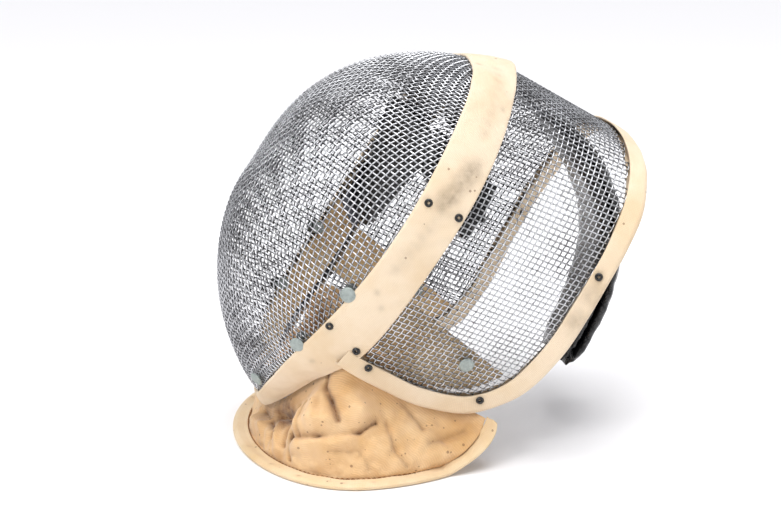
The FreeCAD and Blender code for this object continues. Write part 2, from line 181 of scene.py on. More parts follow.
plain_floor()
MIDDLE = (0.0, 0.0, 0.12)
soft_box("top_box", (0.1, 0.25, 1.7), MIDDLE, 9.0, 0.7)
soft_box("front_box", (1.3, -1.4, 1.3), MIDDLE, 15.0, 0.6)
soft_box("rear_box", (0.5, 1.7, 0.9), MIDDLE, 4.0, 0.6)
daylight = bpy.data.lights.new("even_daylight", "SUN")
daylight.energy, daylight.angle = 1.75, math.radians(50)
daylight_lamp = bpy.data.objects.new("even_daylight", daylight)
daylight_lamp.rotation_euler = (math.radians(12), math.radians(14), 0)
bpy.context.scene.collection.objects.link(daylight_lamp)
world = bpy.data.worlds.new("white_room")
world.use_nodes = True
sky = world.node_tree.nodes["Background"]
sky.inputs["Color"].default_value = srgb("#F4F5FA")
seen_way = node(world, "ShaderNodeTexCoord").outputs["Generated"]
height = node(world, "ShaderNodeSeparateXYZ", {"Vector": seen_way}).outputs["Z"]
wire_up(world, sky, Strength=remap(world, height, 0.0, 0.9, 0.1, 0.75))
bpy.context.scene.world = world

# %% [markdown]
# ## The curves of the mask
# The mask is drawn in the face's own axes (across, forward, up), which lean back by the face tilt. Four
# kinds of curve and surface give every soft piece its place: the band's two edges, the rear rim, the
# bowl over its base ring, and the straight-ruled rear panel. They are clamped cubic splines, which need
# few poles and stay smooth, and each is drawn for one side and mirrored.

# %% Vectors and splines
TILT = math.radians(32.3)
ACROSS = np.array([1.0, 0.0, 0.0])
FORWARD = np.array([0.0, -math.cos(TILT), math.sin(TILT)])
UP = np.array([0.0, math.sin(TILT), math.cos(TILT)])
CENTRE = np.array([0.0, -30.2, 137.0]) * MM


def dot(a, b):
    return (a * b).sum(-1, keepdims=True)


def unit(v):
    return v / np.maximum(np.linalg.norm(v, axis=-1, keepdims=True), 1e-12)


def facing(normal, away):
    """The normals, turned to point the same way as away."""
    return np.where(dot(normal, away) < 0, -normal, normal)


def ratio(top, bottom):
    return top / bottom if bottom > 0 else 0 * top


def clamped_spline(poles, share):
    """Points at share 0..1 of the clamped uniform cubic B-spline: each pole times its basis function,
    which the Cox-de Boor recursion builds from boxes on the knots, one degree at a time."""
    poles = np.asarray(poles, float)
    spans = len(poles) - 3
    knots = np.concatenate([np.zeros(3), np.linspace(0, 1, spans + 1), np.ones(3)])
    t = np.clip(share, 0, 1 - 1e-9)
    basis = [((a <= t) & (t < b)).astype(float) for a, b in zip(knots, knots[1:])]
    for degree in (1, 2, 3):
        basis = [ratio(t - knots[i], knots[i + degree] - knots[i]) * basis[i]
                 + ratio(knots[i + degree + 1] - t, knots[i + degree + 1] - knots[i + 1]) * basis[i + 1]
                 for i in range(len(basis) - 1)]
    return sum(b[..., None] * pole for b, pole in zip(basis, poles))


def half_curve(poles, along):
    """The curve at along -1..1, chin over the crown to chin: the poles' spline, mirrored for minus."""
    along = np.asarray(along, float)
    p = clamped_spline(poles, np.abs(along)) * MM
    side = np.where(along < 0, -1.0, 1.0)[..., None]
    return CENTRE + side * p[..., :1] * ACROSS + p[..., 1:2] * FORWARD + p[..., 2:] * UP


def travel(poles, along, step=0.004):
    """Unit direction of the curve, by the difference of two near points."""
    ahead, behind = np.minimum(along + step, 1), np.maximum(along - step, -1)
    return unit(half_curve(poles, ahead) - half_curve(poles, behind))


def line_through(points, share):
    """Natural cubic spline through the points at share 0..1 of its chord length: the second
    derivatives solve one linear system, and each span blends its two ends and their bends."""
    points = np.asarray(points, float)
    where = np.concatenate([[0], np.cumsum(np.linalg.norm(np.diff(points, axis=0), axis=1))])
    gap = np.diff(where)
    n = len(points)
    system, right = np.eye(n), np.zeros_like(points)
    inner = np.arange(1, n - 1)
    system[inner, inner - 1] = gap[:-1]
    system[inner, inner] = 2 * (gap[:-1] + gap[1:])
    system[inner, inner + 1] = gap[1:]
    slope = np.diff(points, axis=0) / gap[:, None]
    right[1:-1] = 6 * np.diff(slope, axis=0)
    bend = np.linalg.solve(system, right)
    s = np.clip(share, 0, 1) * where[-1]
    k = np.clip(np.searchsorted(where, s, side="right") - 1, 0, n - 2)
    a = ((where[k + 1] - s) / gap[k])[..., None]
    b = 1 - a
    g = gap[k][..., None] ** 2 / 6
    return a * points[k] + b * points[k + 1] + g * ((a ** 3 - a) * bend[k] + (b ** 3 - b) * bend[k + 1])


BAND_FRONT = [(0, 8, 123), (50, 8, 123), (94, 11, 76), (99, 8, -15), (63, 23, -103), (20, 10, -132),
              (0, 10, -132)]
BAND_REAR = [(0, -21, 135.5), (25, -21, 135.5), (97, -21, 84), (103, -17, 0), (85, -17, -69), (59, -5, -86),
             (24, 2, -137), (0, 2, -137)]
REAR_RIM = [(0, -95, 137), (37, -95, 137), (85, -105, 113), (95, -105, 42), (83, -113, -31), (70, -84, -68),
            (82.5, -15, -62)]
JAW = 0.608
print("crown of the band:", half_curve(BAND_FRONT, np.array([0.0])).round(4))

# %% Band, bowl and rear panel
BAND_CROWN = 1.2 * MM
FRONT_WIRE_DEPTH = 3.1 * MM
REAR_WIRE_DEPTH = 4.15 * MM
BOWL_MIDDLE = CENTRE + UP * -4 * MM + FORWARD * -2 * MM
BASE_SHARE = 0.20


def band_frame(along):
    """Front edge, rear edge and outward normal of the band at along -1..1."""
    front, rear = half_curve(BAND_FRONT, along), half_curve(BAND_REAR, along)
    way = travel(BAND_FRONT, along) + travel(BAND_REAR, along)
    normal = facing(unit(np.cross(way, rear - front)), (front + rear) / 2 - CENTRE)
    return front, rear, normal


def band_point(across, along, depth):
    """A share of the way from the front edge to the rear edge, crowned by a parabola, less a depth."""
    front, rear, normal = band_frame(along)
    across = np.asarray(across)[..., None]
    crown = BAND_CROWN * 4 * across * (1 - across)
    return front + (rear - front) * across + normal * (crown - np.asarray(depth)[..., None])


def bowl_reach(depth):
    return FORWARD * (88.5 * MM - np.asarray(depth)[..., None]) + UP * 6 * MM


def bowl_rise(radius):
    """Share of the bowl's depth at a share of its radius: (1 - r^2.39)^0.78."""
    return (1 - np.clip(radius, 0, 1) ** 2.39) ** 0.78


def bowl_point(angle, radius, depth):
    """The base ring shrunk to a share radius and pushed forward by the rise."""
    base = band_point(BASE_SHARE, angle, FRONT_WIRE_DEPTH + depth)
    radius = np.asarray(radius)[..., None]
    return BOWL_MIDDLE + (base - BOWL_MIDDLE) * radius + bowl_reach(depth) * bowl_rise(radius)


def rim_frame(along):
    """The rim's visible inner edge, the way out of the mask's rear, and the outward normal."""
    edge = half_curve(REAR_RIM, along)
    way = travel(REAR_RIM, along)
    away = edge - half_curve(BAND_REAR, 0.5 * JAW * np.asarray(along))
    away = unit(away - way * dot(away, way))
    normal = facing(unit(np.cross(away, way)), edge - CENTRE + FORWARD * 60 * MM)
    return edge, away, normal


BINDING_HALF = 2.9 * MM


def rear_point(across, along, depth):
    """Straight rulings from under the band (across 0) to inside the binding (1)."""
    base = band_point(0.84, JAW * along, REAR_WIRE_DEPTH)
    edge, away, normal = rim_frame(along)
    tip = edge + away * 1.5 * MM - normal * BINDING_HALF
    point = base + (tip - base) * np.asarray(across)[..., None]
    way = travel(REAR_RIM, along) + travel(BAND_REAR, JAW * along)
    outward = facing(unit(np.cross(tip - base, way)), point - CENTRE + FORWARD * 40 * MM)
    return point - outward * np.asarray(depth)[..., None]


print("nose of the bowl:", bowl_point(np.array([0.0]), np.array([0.0]), 0.0).round(4))


# %% [markdown]
# ## From arrays to meshes
# A piece is a grid of points worked out as one array. Joining neighbours gives quads; a grid that closes
# on itself joins its last row to its first, and open ends get a cap, so that every piece is closed. The
# cloth's UV map is in metres, so that a thread can be drawn at its real size wherever the cloth goes.

# %% Mesh helpers
def link_mesh(name, points, faces, uv=None):
    """A smooth mesh object at the origin with its faces as given; the callers turn them to point outwards.
    """
    mesh = bpy.data.meshes.new(name)
    mesh.from_pydata(np.asarray(points).tolist(), [], faces)
    mesh.update()
    if uv is not None:
        mesh.uv_layers.new(name="UVMap").data.foreach_set("uv", np.asarray(uv, float).ravel())
    mesh.polygons.foreach_set("use_smooth", np.ones(len(mesh.polygons), bool))
    piece = bpy.data.objects.new(name, mesh)
    bpy.context.scene.collection.objects.link(piece)
    print(name, len(mesh.vertices), "points")
    return piece


def read_points(mesh):
    places = np.empty(len(mesh.vertices) * 3)
    mesh.vertices.foreach_get("co", places)
    return places.reshape(-1, 3)


def turn_outward(piece):
    """Flips the faces of a closed mesh when its signed volume, the sum of its triangles' corner
    products, is negative."""
    mesh = piece.data
    mesh.calc_loop_triangles()
    corners = np.empty(len(mesh.loop_triangles) * 3, int)
    mesh.loop_triangles.foreach_get("vertices", corners)
    a, b, c = read_points(mesh)[corners.reshape(-1, 3)].transpose(1, 0, 2)
    if dot(a, np.cross(b, c)).sum() < 0:
        mesh.flip_normals()
    return piece


def grid_piece(name, points, ring=False, caps=False, uv=None, outward=None):
    """Quads over a grid of points; ring joins the last row to the first, caps close both ends of the
    rows' other direction. uv has one more row than points when the grid is a ring. An open sheet
    faces the way of outward."""
    rows, columns = points.shape[:2]
    i, j = np.meshgrid(np.arange(rows - (not ring)), np.arange(columns - 1), indexing="ij")
    steps = [(0, 0), (1, 0), (1, 1), (0, 1)]
    quads = np.stack([((i + a) % rows) * columns + j + b for a, b in steps], -1).reshape(-1, 4)
    faces = quads.tolist()
    corner_uv = None
    if uv is not None:
        corner_uv = np.stack([uv[i + a, j + b] for a, b in steps], 2).reshape(-1, 2)
    if caps:
        first = (np.arange(rows) * columns)[::-1]
        last = np.arange(rows) * columns + columns - 1
        faces += [first.tolist(), last.tolist()]
        if uv is not None:
            corner_uv = np.concatenate([corner_uv, uv[:rows][::-1, 0], uv[:rows, -1]])
    piece = link_mesh(name, points.reshape(-1, 3), faces, corner_uv)
    if outward is None:
        return turn_outward(piece)
    across = np.cross(np.gradient(points, axis=0), np.gradient(points, axis=1))
    if dot(across, outward).sum() < 0:
        piece.data.flip_normals()
    return piece


def lengths_along(points):
    """Distance travelled along the last but one axis of an array of points, from 0."""
    steps = np.linalg.norm(np.diff(points, axis=-2), axis=-1)
    return np.concatenate([np.zeros(steps.shape[:-1] + (1,)), np.cumsum(steps, -1)], -1)


def cloth_uv(points):
    """UV in metres for a ring grid: round the ring at its middle column, along at its first row."""
    ring = np.concatenate([points, points[:1]])
    u = lengths_along(ring[:, ring.shape[1] // 2])
    v = lengths_along(points[0])
    return np.stack(np.meshgrid(u, v, indexing="ij"), -1)


def waves(points, size, seed, count=14):
    """Smooth noise of about -1..1: a sum of plane waves in random directions, near size long."""
    rng = np.random.default_rng(seed)
    ways = unit(rng.normal(size=(count, 3))) * (2 * math.pi / size) * rng.uniform(0.6, 1.5, (count, 1))
    return np.sin(points @ ways.T + rng.uniform(0, 2 * math.pi, count)).sum(-1) / math.sqrt(count)


def attribute(piece, name, values):
    """A number for each point, which a material reads with an Attribute node."""
    layer = piece.data.attributes.new(name, "FLOAT", "POINT")
    layer.data.foreach_set("value", np.asarray(values, np.float32).ravel())


def middle_of(node_name):
    low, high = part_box(node_name)
    return (np.array(low) + np.array(high)) / 2


def spots(points, places, radius):
    """How strongly each point is inside round soft spots: 1 at a place, fading over the radius."""
    gaps = [np.linalg.norm(points - place, axis=-1) / radius for place in places]
    return np.exp(-np.min(gaps, axis=0) ** 2)


# %% [markdown]
# ## Steel wire
# The meshes are woven from galvanised wire just under a millimetre thick, each wire passing over one
# neighbour and under the next at 3.4 mm. Zinc on drawn wire is a bright, slightly rough metal that has
# gone grey in places. A picture of wires would be flat from near by, so each wire is a real tube. The
# flat sheet of cloth-like mesh was pressed over a form: its wires keep their spacing and the openings
# shear into diamonds. A Chebyshev net has just that property, so the bowl is covered with one.

# %% Finish: galvanised wire
def galvanised_wire():
    """Drawn and zinc-coated steel: bright grey metal, with darker, rougher patches of old zinc, and
    nearly black painted shade on the side that faces into the mask."""
    metal, shader = new_material("galvanised_wire", Metallic=1.0)
    place = node(metal, "ShaderNodeTexCoord").outputs["Object"]
    patch = noise(metal, place, 28 * MM, Detail=4.0)
    fleck = noise(metal, place, 1.6 * MM, Detail=2.0)
    tone = math_node(metal, "MULTIPLY", math_node(metal, "ADD", patch, fleck), 0.5)
    ramp = node(metal, "ShaderNodeValToRGB", {"Fac": tone})
    old, fresh = ramp.color_ramp.elements
    old.position, old.color = 0.34, srgb("#6B6A6C")
    fresh.position, fresh.color = 0.56, srgb("#E2E3E6")
    bright = node(metal, "ShaderNodeAttribute", attribute_name="painted_light_outward")
    # painted shade: the side of each wire that faces into the mask is mixed towards near-black #242325
    coat_with_painted_shade = mix_colours(metal, bright.outputs["Fac"], srgb("#242325"), ramp.outputs["Color"])
    wire_up(metal, shader, Base_Color=coat_with_painted_shade, Roughness=remap(metal, fleck, 0.3, 0.7, 0.26, 0.4))
    return metal


wire_metal = galvanised_wire()
print("finish:", wire_metal.name)

# %% Weaving tubes
PITCH = 3.4 * MM
WIRE_RADIUS = 0.475 * MM
WEAVE_LIFT = 0.44 * MM


def wire_tubes(name, wires, radius, finish, sides=6):
    """One closed tube for each wire. A wire is (crossings, normals, lifts): it runs through its
    crossings, lifted along the normals, and through the plain midpoints between them. The number
    painted_light_outward says how far each point faces out of the mask; the inward side gets painted shade."""
    turn = np.arange(sides) * 2 * math.pi / sides
    all_points, all_faces, painted_light_outward, start = [], [], [], 0
    for nodes, normals, lifts in wires:
        count = 2 * len(nodes) - 1
        path, up = np.empty((count, 3)), np.empty((count, 3))
        path[::2] = nodes + normals * lifts[:, None]
        up[::2] = normals
        path[1::2] = (nodes[1:] + nodes[:-1]) / 2
        up[1::2] = normals[1:] + normals[:-1]
        way = unit(np.gradient(path, axis=0))
        side = unit(np.cross(way, up))
        top = np.cross(side, way)
        ring = side[:, None] * np.cos(turn)[:, None] + top[:, None] * np.sin(turn)[:, None]
        all_points.append((path[:, None] + ring * radius).reshape(-1, 3))
        # painted light share: 1 where the wire faces out of the mask, falling to 0 on its inward side,
        # which gets painted shade
        painted_light_outward.append(np.clip(0.45 + 0.75 * dot(ring, unit(up)[:, None]), 0, 1).ravel())
        i, j = np.meshgrid(np.arange(count - 1), np.arange(sides), indexing="ij")
        near, far = i * sides + j, i * sides + (j + 1) % sides
        quads = np.stack([near, far, far + sides, near + sides], -1).reshape(-1, 4) + start
        all_faces += quads.tolist()
        all_faces.append((start + np.arange(sides))[::-1].tolist())
        all_faces.append((start + (count - 1) * sides + np.arange(sides)).tolist())
        start += count * sides
    piece = turn_outward(link_mesh(name, np.concatenate(all_points), all_faces))
    attribute(piece, "painted_light_outward", np.concatenate(painted_light_outward))
    piece.data.materials.append(finish)
    return piece


def runs(inside):
    """Start and stop of each unbroken run of true values that is at least two long."""
    edges = np.flatnonzero(np.diff(np.concatenate([[0], inside.astype(int), [0]])))
    return [(a, b) for a, b in zip(edges[::2], edges[1::2]) if b - a > 1]


def weave(nodes, normals, inside, parity):
    """The wires along the first axis of a grid of crossings, over and under by turns."""
    wires = []
    for k in range(nodes.shape[1]):
        for a, b in runs(inside[:, k]):
            lifts = WEAVE_LIFT * np.where((np.arange(a, b) + k) % 2 == parity, 1.0, -1.0)
            wires.append((nodes[a:b, k], normals[a:b, k], lifts))
    return wires


# %% Net over the bowl
HALF_WIRE_PLY = 0.95 * MM
REACH = bowl_reach(HALF_WIRE_PLY)
REACH_WAY = unit(REACH)
FACE_UP = unit(UP - REACH_WAY * dot(UP, REACH_WAY))
ring_angle = np.linspace(0, 1, 241)
ring = band_point(BASE_SHARE, ring_angle, FRONT_WIRE_DEPTH + HALF_WIRE_PLY) - BOWL_MIDDLE
RING_TURN = np.arctan2(np.abs(ring[:, 0]), ring @ FACE_UP)
RING_WIDE = np.hypot(ring[:, 0], ring @ FACE_UP)
RING_HIGH = ring @ REACH_WAY


def onto_bowl(points):
    """Points moved onto the bowl along straight lines from its middle, and whether each met it. At a
    turn round the reach the base ring is wide and high; halving finds the radius r for which
    r * wide and r * high + reach * rise(r) stand in the point's own proportion."""
    w = points - BOWL_MIDDLE
    across, up, out = w[..., 0], w @ FACE_UP, w @ REACH_WAY
    turn, flat = np.arctan2(np.abs(across), up), np.hypot(across, up)
    wide, high = np.interp(turn, RING_TURN, RING_WIDE), np.interp(turn, RING_TURN, RING_HIGH)
    slope = wide * out - high * flat
    low, top = np.zeros_like(flat), np.ones_like(flat)
    for _ in range(26):
        r = (low + top) / 2
        past = slope * r > flat * np.linalg.norm(REACH) * bowl_rise(r)
        low, top = np.where(past, low, r), np.where(past, r, top)
    r = (low + top) / 2
    met = slope > 0
    side = (np.sin(turn) * np.sign(across + 1e-12) * wide * r)[..., None] * ACROSS
    lift = (np.cos(turn) * wide * r)[..., None] * FACE_UP
    found = BOWL_MIDDLE + side + lift + (high * r)[..., None] * REACH_WAY + REACH * bowl_rise(r)[..., None]
    return np.where(met[..., None], found, points), met


def even_steps(path, count):
    """Points at equal steps of one pitch along a finely drawn path, carried straight on past its end."""
    s = lengths_along(path)
    want = np.arange(count) * PITCH
    points = np.stack([np.interp(want, s, path[:, k]) for k in range(3)], -1)
    over = np.maximum(want - s[-1], 0)[:, None]
    return points + unit(path[-1] - path[-2]) * over


def quarter_net(up_angle, count):
    """One quarter of a Chebyshev net. Its first row and column are the bowl's cross lines at equal
    steps; every further crossing lies one pitch from its two older neighbours, on the bowl. The
    crossings with the same i + j do not depend on each other, so each diagonal is one step."""
    radius = np.linspace(0, 1, 400)
    side_angle = np.interp(math.pi / 2, RING_TURN, ring_angle)
    net = np.zeros((count, count, 3))
    for angle, part in ((side_angle, (slice(None), 0)), (up_angle, (0, slice(None)))):
        path = bowl_point(np.full(400, angle), radius, HALF_WIRE_PLY)
        net[part] = even_steps(path, count)
    net[0, :, 0] = 0.0
    for total in range(2, 2 * count - 1):
        i = np.arange(max(1, total - count + 1), min(total, count))
        j = total - i
        a, b, old = net[i - 1, j], net[i, j - 1], net[i - 1, j - 1]
        middle, half = (a + b) / 2, dot(a - b, a - b) / 4
        guess = a + b - old
        for _ in range(3):
            way = guess - middle
            way = unit(way - (a - b) * dot(way, a - b) / np.maximum(4 * half, 1e-12))
            guess, _ = onto_bowl(middle + way * np.sqrt(np.maximum(PITCH ** 2 - half, 0)))
        net[i, j] = guess
    return net


def bowl_net(count=58):
    """All four quarters as one grid, crown to chin by right to left."""
    upper, lower = quarter_net(0.0, count), quarter_net(1.0, count)
    left = np.concatenate([upper[:, ::-1], lower[:, 1:]], axis=1)
    right = left[:0:-1] * np.array([-1, 1, 1])
    net = np.concatenate([right, left])
    _, inside = onto_bowl(net)
    normal = unit(np.cross(np.gradient(net, axis=0), np.gradient(net, axis=1)))
    normal = facing(normal, net - BOWL_MIDDLE)
    return net, normal, inside


def woven_panel(net, names, stands_for):
    """Both sets of wires of a net, riding on the mask in place of one plain mesh."""
    turned = [part.swapaxes(0, 1) for part in net]
    for parity, (name, (nodes, normals, inside)) in enumerate(zip(names, (net, turned))):
        piece = wire_tubes(name, weave(nodes, normals, inside, parity), WIRE_RADIUS, wire_metal)
        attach(piece, "mask")
        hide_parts(stands_for)
    print(stands_for, "crossings:", int(net[2].sum()))


woven_panel(bowl_net(), ("front_wires_across", "front_wires_down"), "front_mesh")

# %% [markdown]
# ## The rear panel
# The rear mesh is bent round one way only, like a rolled sheet. Its round-going wires keep a constant
# distance behind the band and its fore-and-aft wires are straight, so an even grid over the ruled panel
# is enough. Wires stop where the panel runs out under the binding.

# %% Grid over the rear panel
def rear_net(rounds=34, half_count=90):
    """Crossings at equal steps round the head on lines of equal distance behind the band, and
    whether each lies between the band and the binding."""
    along = np.linspace(0, 0.992, 700)
    base, tip = rear_point(0 * along, along, 0 * along), rear_point(0 * along + 1, along, 0 * along)
    depth = dot(base - tip, FORWARD)[:, 0]
    rows, shares = [], []
    for k in range(rounds):
        share = k * PITCH / depth
        s = lengths_along(rear_point(share, along, 0 * along))
        want = np.arange(half_count) * PITCH
        where = np.interp(want, s, along)
        shares.append(np.where(want > s[-1], 9.0, np.interp(where, along, share)))
        rows.append(rear_point(np.minimum(shares[-1], 1.1), where, 0 * where))
    half, share = np.array(rows), np.array(shares)
    net = np.concatenate([half[:, :0:-1] * np.array([-1, 1, 1]), half], axis=1)
    inside = np.concatenate([share[:, :0:-1], share], axis=1) <= 1.0
    normal = unit(np.cross(np.gradient(net, axis=0), np.gradient(net, axis=1)))
    return net, facing(normal, net - CENTRE + FORWARD * 40 * MM), inside


woven_panel(rear_net(), ("rear_wires_back", "rear_wires_round"), "rear_mesh")

# %% [markdown]
# ## Old canvas
# Band, bindings and bib are cotton canvas that was once white. Age gives it a cream to tan ground with
# soft blotches, rust specks and grey handling marks. It is matt with a little sheen of loose fibre. The
# real threads are about 0.5 mm apart, which is too fine to show here, so the weave is drawn at about
# twice that, with painted shade between the threads. A number stored on the points says where the cloth is
# dirty, and on the bib where it gets painted shade in its furrows and along its top under the band.

# %% Finish: canvas
WAVE_SCALE = 0.314  # a wave texture of scale 1 repeats at this distance


def specks(cloth, place, speck):
    """1 inside small round rust spots. Each cell of a Voronoi pattern draws a number, and only the
    share of cells given by speck get a spot, the larger the higher the number."""
    cell = node(cloth, "ShaderNodeTexVoronoi", {"Vector": place, "Scale": 1 / (3.6 * MM)})
    chance = node(cloth, "ShaderNodeSeparateColor", {"Color": cell.outputs["Color"]}).outputs[0]
    size = remap(cloth, chance, 1 - speck, 1.0, 0.0, 0.26)
    return math_node(cloth, "LESS_THAN", cell.outputs["Distance"], size)


def weave_height(cloth, thread, turns):
    """The height of threads that many mm apart, drawn on the UV map once for each turn in degrees."""
    flat = node(cloth, "ShaderNodeUVMap", uv_map="UVMap").outputs["UV"]
    height = None
    for turn in turns:
        lay = node(cloth, "ShaderNodeMapping", {"Vector": flat, "Rotation": (0, 0, math.radians(turn))})
        inputs = {"Vector": lay.outputs["Vector"], "Scale": WAVE_SCALE / (thread * MM), "Distortion": 0.6,
                  "Detail": 1.0}
        wave = node(cloth, "ShaderNodeTexWave", inputs, wave_profile="SIN").outputs["Fac"]
        height = wave if height is None else math_node(cloth, "MULTIPLY", height, wave)
    return height


def canvas(name, light, dark, soil_and_painted_shade, thread, turns=(0, 90), shade=0.9, speck=0.5):
    """Woven cotton: blotches between two colours, specks, soiling and painted shade where the piece says
    so, and the threads as bump, with painted shade between the threads down to the factor shade and a
    little painted light on the thread tops. One turn of threads is a twill."""
    cloth, shader = new_material(name, Roughness=0.88, Sheen_Weight=0.25, Sheen_Roughness=0.6)
    place = node(cloth, "ShaderNodeTexCoord").outputs["Object"]
    blotch = remap(cloth, noise(cloth, place, 45 * MM, Detail=5.0, Roughness=0.6), 0.42, 0.68)
    ground = mix_colours(cloth, blotch, srgb(light), srgb(dark))
    rusty = math_node(cloth, "MULTIPLY", specks(cloth, place, speck), 0.6)
    specked = mix_colours(cloth, rusty, ground, srgb("#6E4320"))
    # soil_and_painted_shade: real dirt on band, rim and tape; painted shade in the bib's furrows and under
    # the band
    dirt_and_painted_shade = node(cloth, "ShaderNodeAttribute", attribute_name="soil_and_painted_shade").outputs["Fac"]
    ragged = remap(cloth, noise(cloth, place, 5 * MM, Detail=4.0), 0.3, 0.7, 0.55, 1.25)
    amount = math_node(cloth, "MULTIPLY", dirt_and_painted_shade, ragged, use_clamp=True)
    soiled_and_shaded = mix_colours(cloth, amount, specked, srgb(soil_and_painted_shade))
    height = weave_height(cloth, thread, turns)
    # painted shade between the threads, down to the factor shade, and painted light up to 1.03 on the
    # thread tops
    painted_dent_shade = remap(cloth, height, 0.0, 1.0, shade, 1.03)
    final = mix_colours(cloth, 1.0, soiled_and_shaded, painted_dent_shade, blend_type="MULTIPLY")
    wire_up(cloth, shader, Base_Color=final, Normal=bump(cloth, height, 0.5, 0.25 * MM))
    return cloth


band_canvas = canvas("cream_canvas", "#EED9BC", "#E3C8A2", "#8B7860", thread=1.0, speck=0.06)
tape_canvas = canvas("bib_tape_canvas", "#EBD2AC", "#DDBC8A", "#8A5A2C", thread=1.0, speck=0.12)
# the bib's dark colour #6B4220 is the painted shade of its furrows and of its top under the band
bib_canvas_cloth = canvas("bib_twill", "#E6C294", "#D3A56C", "#6B4220", thread=1.5, turns=(8,),
                          shade=0.95, speck=0.5)
lining_canvas_cloth = canvas("lining_canvas", "#E0C397", "#C7A06C", "#5A4026", thread=1.3, speck=0.2)
print("finishes:", [m.name for m in bpy.data.materials])

# %% [markdown]
# ## The seam band
# A strip of doubled canvas is stretched over the seam, its edges folded under, and its two ends butt
# under the chin. The rivets pull it down a little and leave grey rings. Its section is a flat loop with
# round edges, carried along the band's path; the dimples are taken off the depth.

# %% Seam band
def folded_section(width, thickness, across=26, edge=5):
    """A closed flat loop as (share of width, depth): out along the outside, a half circle round one
    edge, back along the inside, and a half circle round the other."""
    end = thickness / 2 / width
    flat = np.linspace(end, 1 - end, across)
    bend = np.linspace(0, math.pi, edge + 2)[1:-1]
    share = np.concatenate([flat, 1 - end + end * np.sin(bend), flat[::-1], end - end * np.sin(bend)])
    depth = thickness / 2 * (1 - np.concatenate([np.ones(across), np.cos(bend), -np.ones(across),
                                                 -np.cos(bend)]))
    return share, depth


def make_band():
    """The band's section carried from chin to chin, with dimples at its rivets, soft waves, and a
    grey handling mark at the ear."""
    share, depth = folded_section(27 * MM, 2 * MM)
    along = np.linspace(-0.997, 0.997, 520)
    s, a = np.meshgrid(share, along, indexing="ij")
    plain = band_point(s, a, 0 * s)
    rivets = [middle_of(n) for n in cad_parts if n.startswith("band_rivet")]
    discs = [middle_of(n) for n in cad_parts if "disc" in n]
    pits = band_point(np.array([0.16, 0.30]), np.array([0.05, 0.972]), np.zeros(2))
    dimple = 0.7 * MM * spots(plain, rivets, 4.2 * MM) + 1.6 * MM * spots(plain, discs, 7 * MM)
    dimple = dimple + 0.8 * MM * spots(plain, pits, 2.0 * MM)
    slack = 0.22 * MM * waves(plain, 30 * MM, 3) + 0.16 * MM * waves(plain, 9 * MM, 4)
    end_pull = 1.2 * MM * np.clip((np.abs(a) - 0.93) / 0.067, 0, 1) ** 2 * np.sin(s * math.pi)
    points = band_point(s, a, depth[:, None] + dimple + slack + end_pull)
    band = grid_piece("seam_band_canvas", points, ring=True, caps=True, uv=cloth_uv(points))
    ear = np.linspace(0, 1, 9)
    patch = band_point(0.66 - 0.2 * ear, 0.245 + 0.07 * ear, 0 * ear)
    streak = band_point(0.55 + 0 * ear, 0.06 + 0.13 * ear, 0 * ear)
    trail = band_point(0.55 - 0.18 * ear, 0.31 + 0.14 * ear, 0 * ear)
    marks = band_point(np.array([0.80, 0.35, 0.62, 0.40]), np.array([0.14, 0.50, 0.505, 0.70]), np.zeros(4))
    stain = (0.62 * spots(points, patch, 6 * MM) + 0.22 * spots(points, streak, 3.5 * MM)
             + 0.2 * spots(points, trail, 4 * MM) + 0.35 * spots(points, rivets, 3.6 * MM)
             + 0.3 * spots(points, marks, 2 * MM) + spots(points, pits, 1.7 * MM))
    attribute(band, "soil_and_painted_shade", stain)
    band.data.materials.append(band_canvas)
    return band


seam_band = make_band()
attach(seam_band, "mask")
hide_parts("seam_band")

# %% [markdown]
# ## The rim binding
# The rear edge is bound with a strip of the same canvas, folded round the rim rod. Its section is a U:
# out along the outside, round the rod, and back along the inside, one ply thick.

# %% Rim binding
BINDING_WIDTH = 12.5 * MM
BINDING_PLY = 1.0 * MM
RIM_END = 0.997
RIM_OVERRUN = 1.055
RIM_LAP = 11 * MM


def binding_section(offset, count=26):
    """The U as (reach, height) from the inner edge: straight, half circle, straight, at an offset
    inside the outer face."""
    flat = BINDING_WIDTH - BINDING_HALF
    run = np.linspace(0, 2 * flat + math.pi * BINDING_HALF, count)
    bend = np.clip((run - flat) / BINDING_HALF, 0, math.pi)
    radius = BINDING_HALF - offset
    past = np.maximum(run - flat - math.pi * BINDING_HALF, 0)
    reach = np.minimum(run, flat) + radius * np.sin(bend) - past
    return reach, radius * np.cos(bend) - BINDING_HALF


